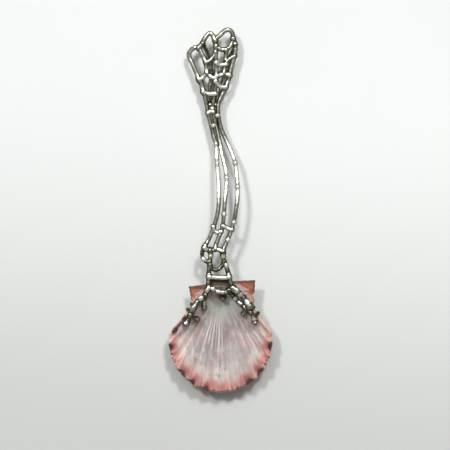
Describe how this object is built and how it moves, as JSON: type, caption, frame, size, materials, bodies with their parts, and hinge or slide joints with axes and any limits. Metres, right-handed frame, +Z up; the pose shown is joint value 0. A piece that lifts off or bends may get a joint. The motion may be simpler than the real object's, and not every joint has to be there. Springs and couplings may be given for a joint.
{
  "type": "scallop shell spoon",
  "caption": "Spoon whose bowl is a ribbed scallop valve, gripped by claws and hooks of a slender openwork handle of fused silver wire with a crown-like end.",
  "frame": {"origin": "centre of the bounding box in plan, at the table that the spoon lies on", "axes": "+Y along the handle from the bowl to the crown, +Z up out of the bowl, +X to the right seen from above"},
  "size_m": [0.0428, 0.1502, 0.0138],
  "materials": {
    "silver": "polished",
    "shell": "gloss",
    "horn": "satin"
  },
  "bodies": {
    "root": {"back_strap": "silver", "clasp_arc": "silver", "clasp_bar_low": "silver", "clasp_bar_top": "silver", "clasp_loop": "silver", "clasp_rail_left": "silver", "clasp_rail_right": "silver", "clasp_saddle": "silver", "claw_left": "silver", "claw_left_inner": "silver", "claw_left_short": "silver", "claw_right_inner": "silver", "claw_right_outer": "silver", "claw_right_short": "silver", "collar_left": "silver", "collar_right": "silver", "crown_arch_left": "silver", "crown_arch_middle": "silver", "crown_band_left": "silver", "crown_band_right": "silver", "crown_cup": "silver", "crown_foot_right": "silver", "crown_loop_right": "silver", "crown_rail_left": "silver", "crown_rail_right": "silver", "crown_saddle": "silver", "crown_sill": "silver", "crown_strut_back": "silver", "crown_strut_inner": "silver", "crown_strut_left": "silver", "crown_strut_middle": "silver", "crown_strut_right": "silver", "hinge_ligament": "horn", "hook_left_lower": "silver", "hook_left_upper": "silver", "hook_right_lower": "silver", "hook_right_upper": "silver", "keel_bar": "silver", "keel_wire_left": "silver", "keel_wire_right": "silver", "neck_band": "silver", "neck_granule_large": "silver", "neck_granule_left": "silver", "neck_granule_right": "silver", "scallop_shell": "shell", "stem_wire_left": "silver", "stem_wire_middle": "silver", "stem_wire_right": "silver"}
  },
  "joints": []
}
